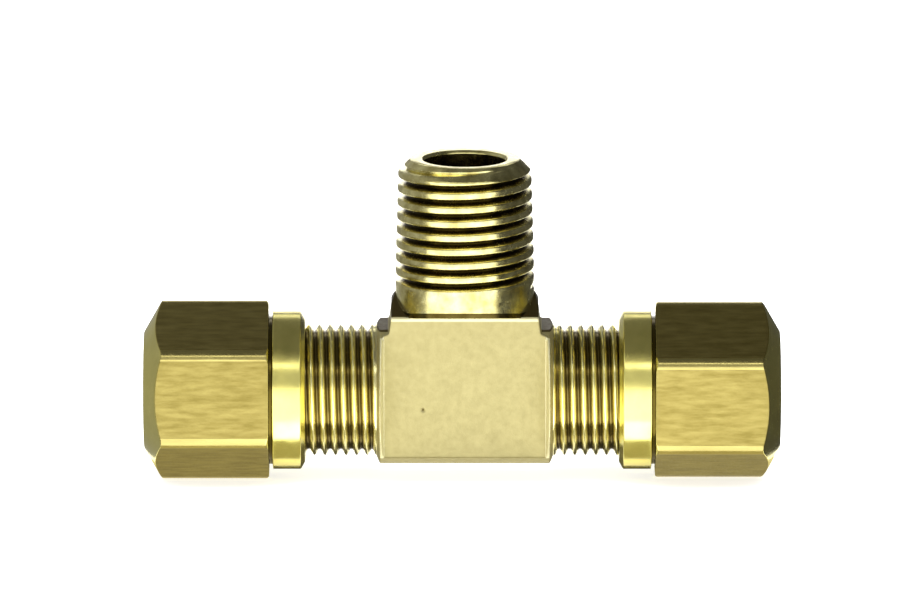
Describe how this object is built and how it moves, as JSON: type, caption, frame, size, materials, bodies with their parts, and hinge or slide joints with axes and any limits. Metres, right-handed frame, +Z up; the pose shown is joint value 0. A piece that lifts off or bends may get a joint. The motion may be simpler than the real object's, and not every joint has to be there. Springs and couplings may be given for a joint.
{
  "type": "compression fitting",
  "caption": "Brass male branch tee: a tapered pipe thread on the branch and a compression joint with nut, sleeve and tube support on each arm of the run.",
  "frame": {"origin": "where the axis of the two arms meets the axis of the branch, in the middle of the body", "axes": "+X along the run towards the right-hand arm, +Z up the branch towards its open end, -Y out of the front pad"},
  "size_m": [0.0637, 0.0164, 0.0326],
  "materials": {
    "body_brass": "forged and blasted flats, turned threads",
    "nut_brass": "drawn hexagon bar, turned collar and bore",
    "sleeve_brass": "fine turned",
    "support_brass": "fine turned"
  },
  "bodies": {
    "tee": {"tee_body": "body_brass", "left_tube_support": "support_brass", "right_tube_support": "support_brass"},
    "left_sleeve": {"left_sleeve": "sleeve_brass"},
    "left_nut": {"left_nut": "nut_brass"},
    "right_sleeve": {"right_sleeve": "sleeve_brass"},
    "right_nut": {"right_nut": "nut_brass"}
  },
  "joints": [
    {"name": "left_sleeve_slide", "type": "slide", "parent": "tee", "child": "left_sleeve", "axis": [1, 0, 0], "range_m": [-0.0072, 0.00103]},
    {"name": "left_nut_spin", "type": "hinge", "parent": "left_sleeve", "child": "left_nut", "pos_m": [-0.024, 0, 0], "axis": [1, 0, 0], "range_deg": [-2430, 345]},
    {"name": "right_sleeve_slide", "type": "slide", "parent": "tee", "child": "right_sleeve", "axis": [1, 0, 0], "range_m": [-0.0005, 0.0077]},
    {"name": "right_nut_spin", "type": "hinge", "parent": "right_sleeve", "child": "right_nut", "pos_m": [0.024, 0, 0], "axis": [1, 0, 0], "range_deg": [-162, 2610]}
  ],
  "couplings": [
    {"joint": "left_sleeve_slide", "follows": "left_nut_spin", "m_per_rad": 0.00016844},
    {"joint": "right_sleeve_slide", "follows": "right_nut_spin", "m_per_rad": 0.00016844}
  ]
}
